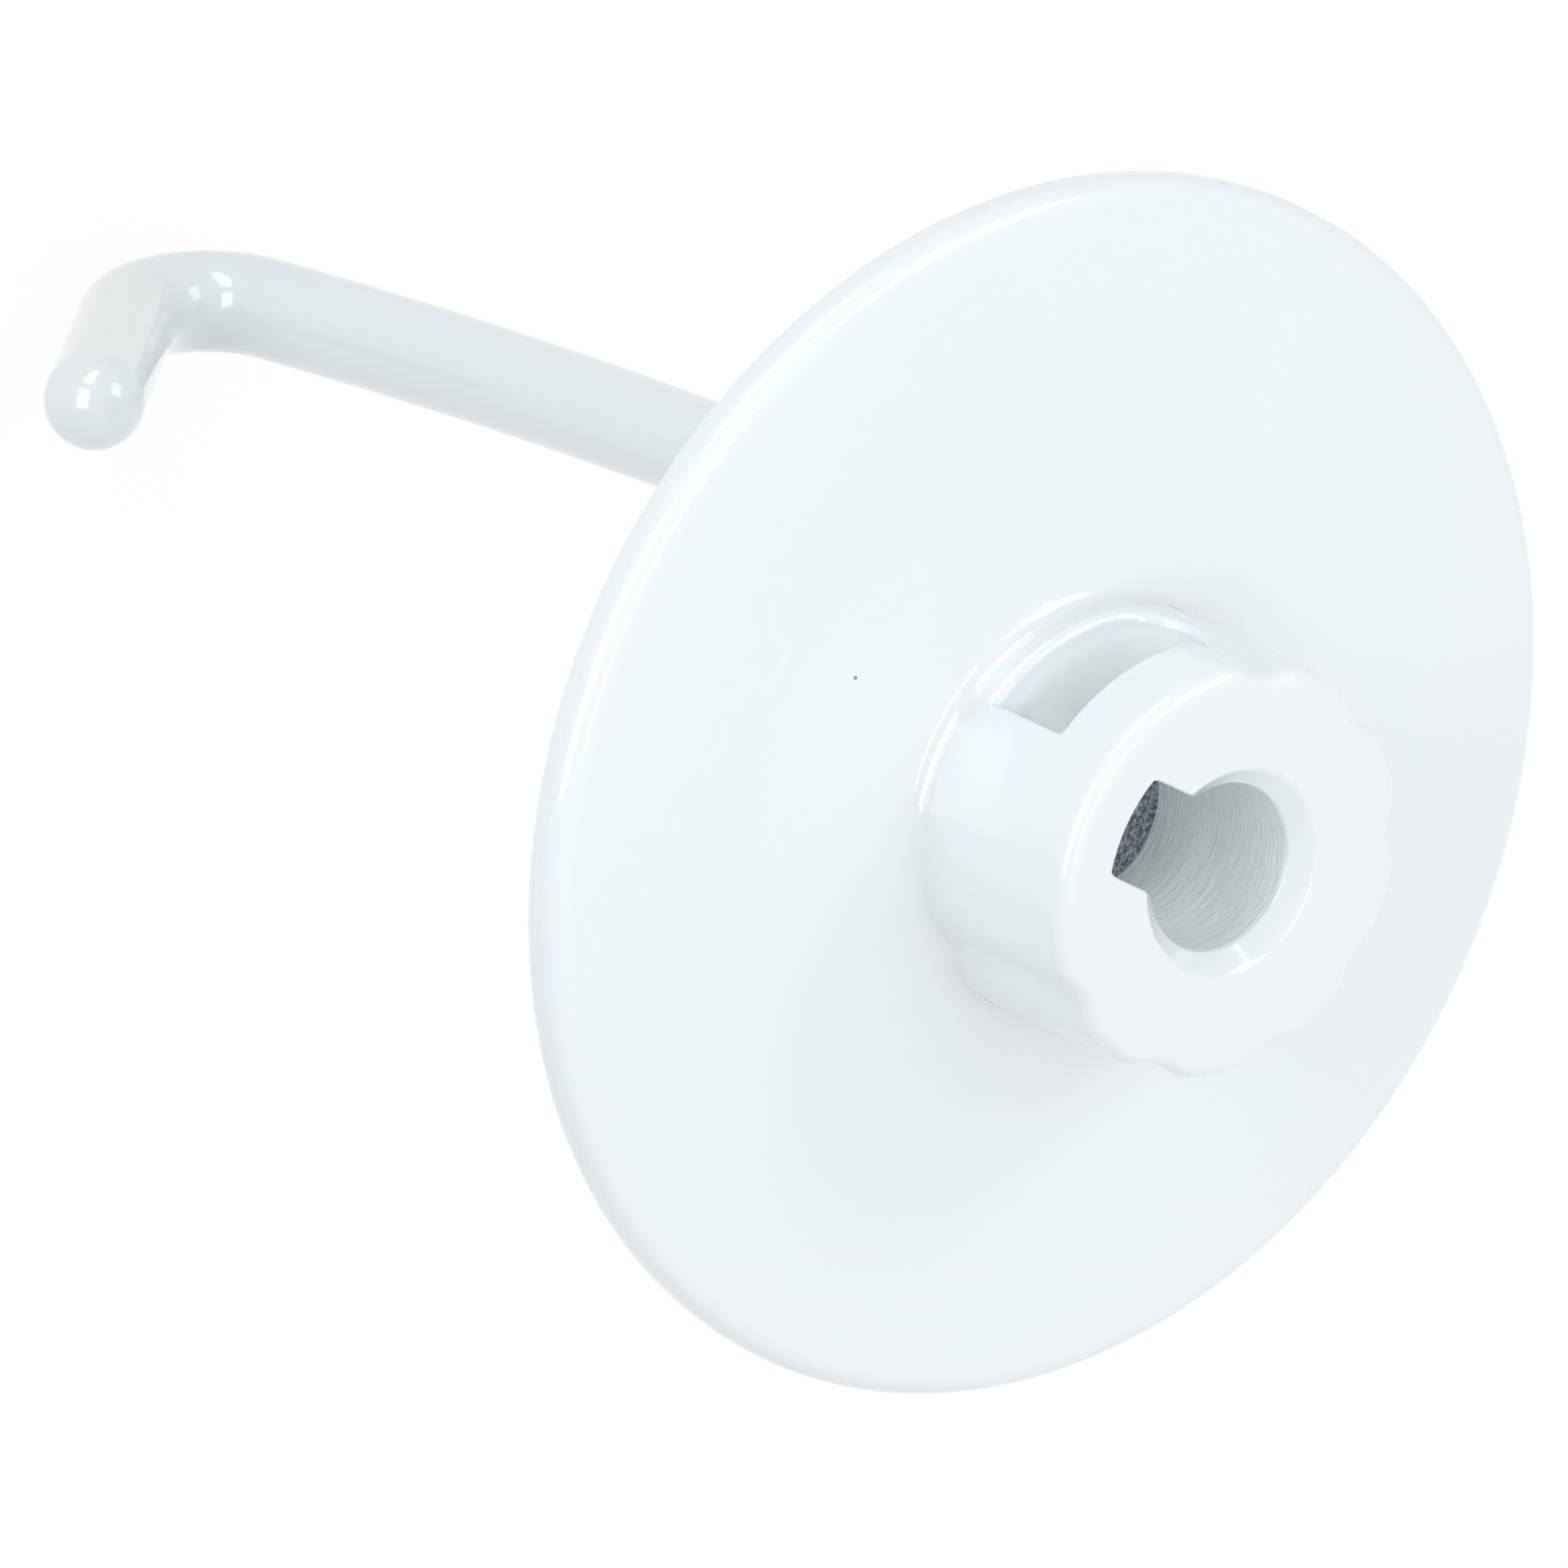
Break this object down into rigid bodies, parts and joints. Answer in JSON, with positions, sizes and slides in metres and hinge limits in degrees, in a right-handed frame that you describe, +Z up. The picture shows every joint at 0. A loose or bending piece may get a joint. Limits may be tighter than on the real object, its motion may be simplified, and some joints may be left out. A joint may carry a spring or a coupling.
{
  "type": "stand mixer dough hook",
  "caption": "White coated dough hook for a stand mixer: keyed blind-bore hub with grip flutes on a round shield, and a bent round arm with a rounded tip.",
  "frame": {"origin": "on the axis of the shaft bore, at the plane of the pin pocket's roof, where the drive pin bears", "axes": "+Z up along the bore, out of its mouth towards the mixer; +X towards the side on which the arm hangs"},
  "size_m": [0.094, 0.094, 0.1459],
  "materials": {
    "coating": "gloss"
  },
  "bodies": {
    "root": {"dough_hook": "coating"}
  },
  "joints": []
}
